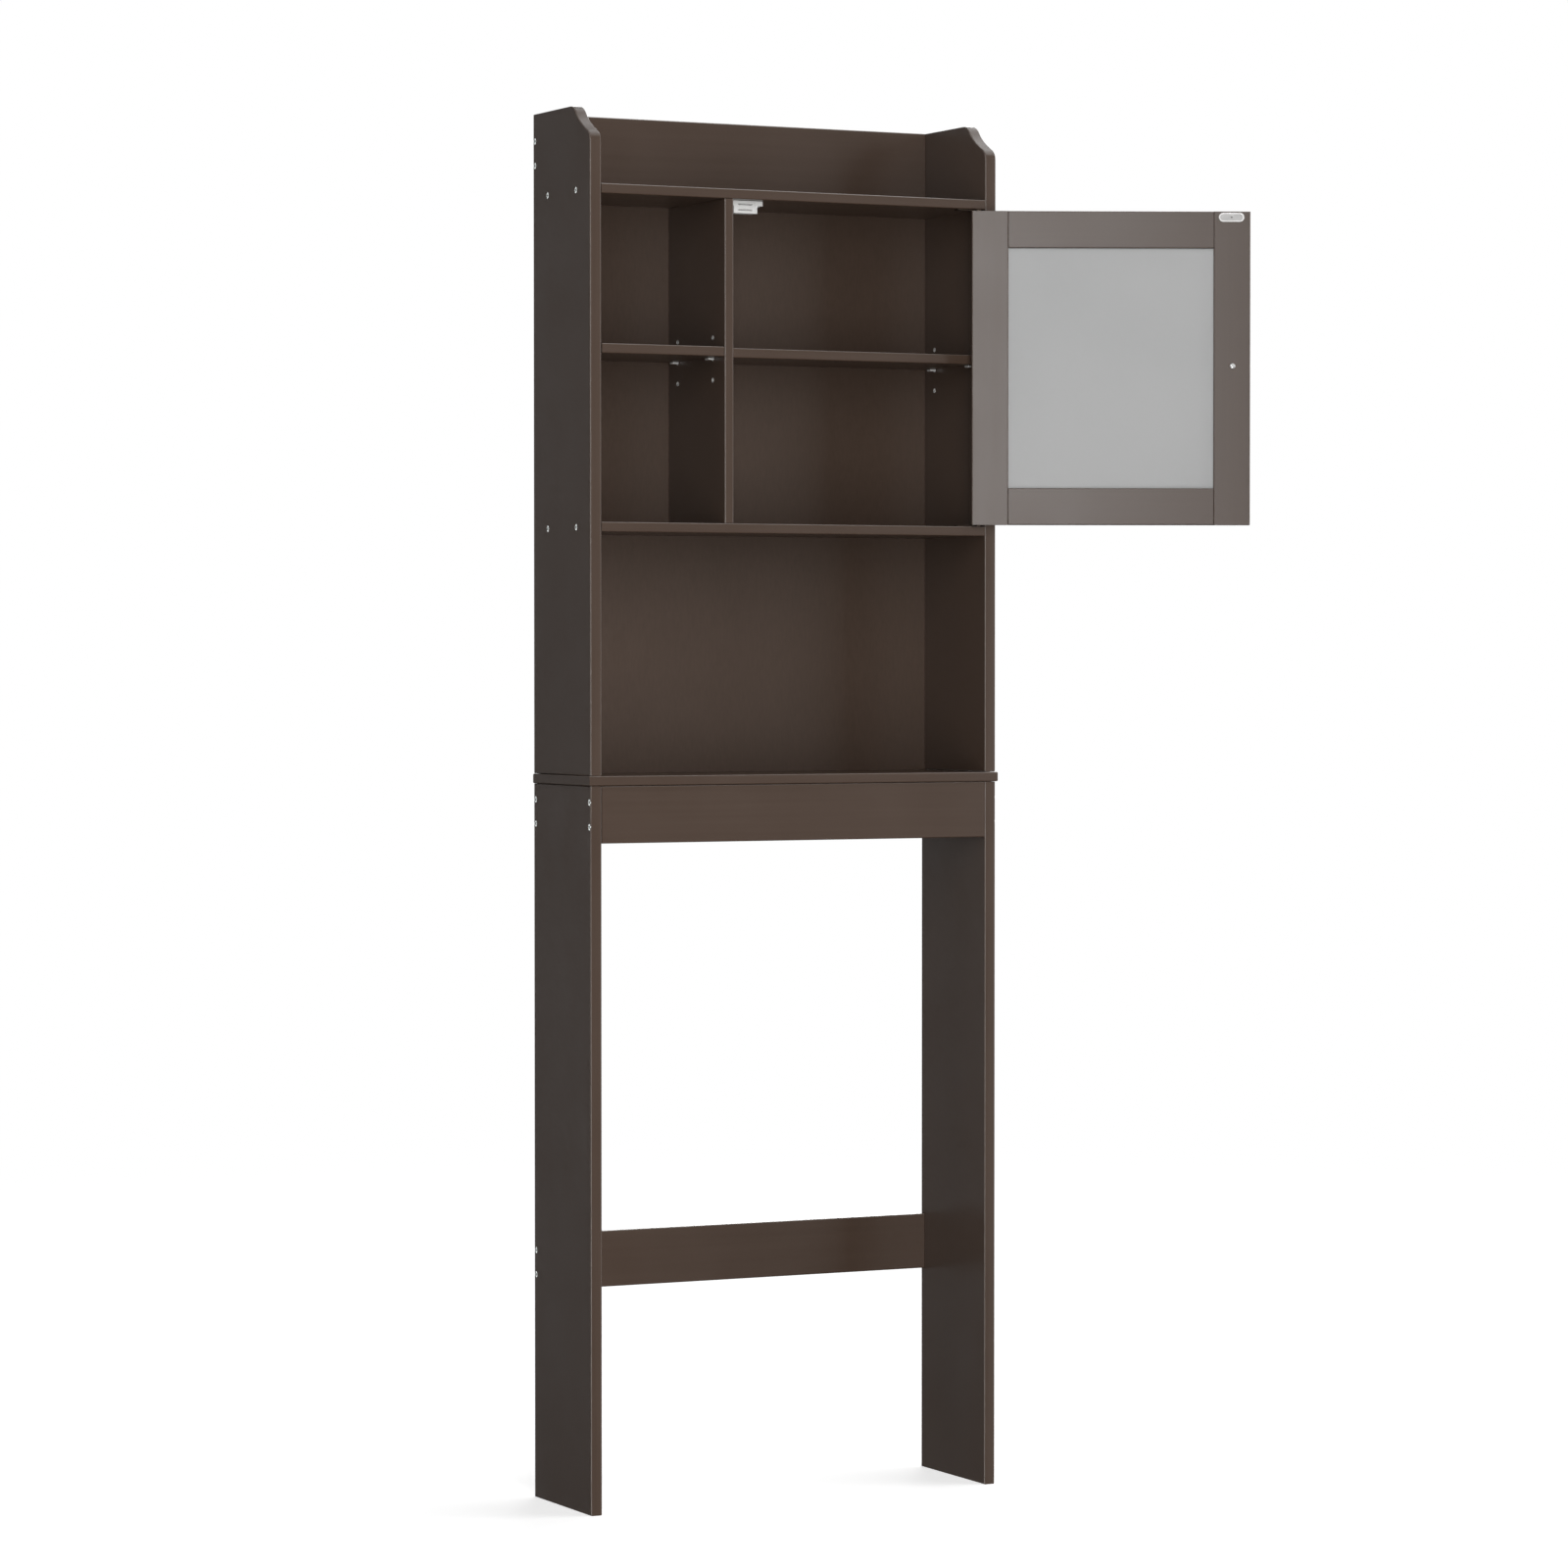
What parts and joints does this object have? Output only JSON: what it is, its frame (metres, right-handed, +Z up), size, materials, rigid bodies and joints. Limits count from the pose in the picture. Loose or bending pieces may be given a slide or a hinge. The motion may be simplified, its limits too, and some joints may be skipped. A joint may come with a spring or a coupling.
{
  "type": "over the toilet storage rack",
  "caption": "Free-standing cabinet on two tall legs that straddle a toilet, with open shelves, an open tier and a framed frosted door on a vertical hinge.",
  "frame": {"origin": "on the floor, midway between the legs and midway between the front and rear edges of the side panels", "axes": "+X to the right seen from the front, +Y towards the wall behind, +Z up"},
  "size_m": [0.8484, 0.3203, 1.713],
  "materials": {
    "brown_laminate": "satin dark brown laminate on board",
    "hardboard_back": "thin dark brown printed hardboard",
    "frosted_pane": "frosted, matt, grey-white",
    "zinc_screws": "bright zinc",
    "nickel_pins": "nickel plated",
    "bronze_hinges": "dark bronze",
    "nickel_fittings": "satin nickel",
    "white_plastic": "satin white",
    "catch_magnet": "grey sintered magnet"
  },
  "bodies": {
    "carcass": {"back_panel": "hardboard_back", "cabinet_bottom_shelf": "brown_laminate", "catch_magnet": "catch_magnet", "front_apron": "brown_laminate", "left_adjustable_shelf": "brown_laminate", "left_cabinet_bottom_shelf_screw_front": "zinc_screws", "left_cabinet_bottom_shelf_screw_rear": "zinc_screws", "left_front_apron_screw_lower": "zinc_screws", "left_front_apron_screw_upper": "zinc_screws", "left_leg_panel": "brown_laminate", "left_rear_apron_screw_lower": "zinc_screws", "left_rear_apron_screw_upper": "zinc_screws", "left_rear_stretcher_screw_lower": "zinc_screws", "left_rear_stretcher_screw_upper": "zinc_screws", "left_shelf_left_front_pin": "nickel_pins", "left_shelf_left_rear_pin": "nickel_pins", "left_shelf_right_front_pin": "nickel_pins", "left_shelf_right_rear_pin": "nickel_pins", "left_top_guard_screw_lower": "zinc_screws", "left_top_guard_screw_upper": "zinc_screws", "left_top_shelf_screw_front": "zinc_screws", "left_top_shelf_screw_rear": "zinc_screws", "left_upper_side_panel": "brown_laminate", "lower_frame_hinge_leaf": "bronze_hinges", "magnetic_catch_housing": "white_plastic", "main_board": "brown_laminate", "partition": "brown_laminate", "rear_apron": "brown_laminate", "rear_stretcher": "brown_laminate", "right_adjustable_shelf": "brown_laminate", "right_cabinet_bottom_shelf_screw_front": "zinc_screws", "right_cabinet_bottom_shelf_screw_rear": "zinc_screws", "right_front_apron_screw_lower": "zinc_screws", "right_front_apron_screw_upper": "zinc_screws", "right_leg_panel": "brown_laminate", "right_rear_apron_screw_lower": "zinc_screws", "right_rear_apron_screw_upper": "zinc_screws", "right_rear_stretcher_screw_lower": "zinc_screws", "right_rear_stretcher_screw_upper": "zinc_screws", "right_shelf_left_front_pin": "nickel_pins", "right_shelf_left_rear_pin": "nickel_pins", "right_shelf_right_front_pin": "nickel_pins", "right_shelf_right_rear_pin": "nickel_pins", "right_top_guard_screw_lower": "zinc_screws", "right_top_guard_screw_upper": "zinc_screws", "right_top_shelf_screw_front": "zinc_screws", "right_top_shelf_screw_rear": "zinc_screws", "right_upper_side_panel": "brown_laminate", "top_guard": "brown_laminate", "top_shelf": "brown_laminate", "upper_frame_hinge_leaf": "bronze_hinges"},
    "door": {"door_hinge_stile": "brown_laminate", "door_knob_stile": "brown_laminate", "door_top_rail": "brown_laminate", "door_bottom_rail": "brown_laminate", "door_pane": "frosted_pane", "door_knob": "nickel_fittings", "strike_plate": "nickel_fittings", "upper_door_hinge_leaf": "bronze_hinges", "lower_door_hinge_leaf": "bronze_hinges"}
  },
  "joints": [
    {"name": "door_hinge", "type": "hinge", "parent": "carcass", "child": "door", "pos_m": [0.2555, -0.0822, 1.4], "axis": [0, 0, 1], "range_deg": [-155.3, 0]}
  ]
}
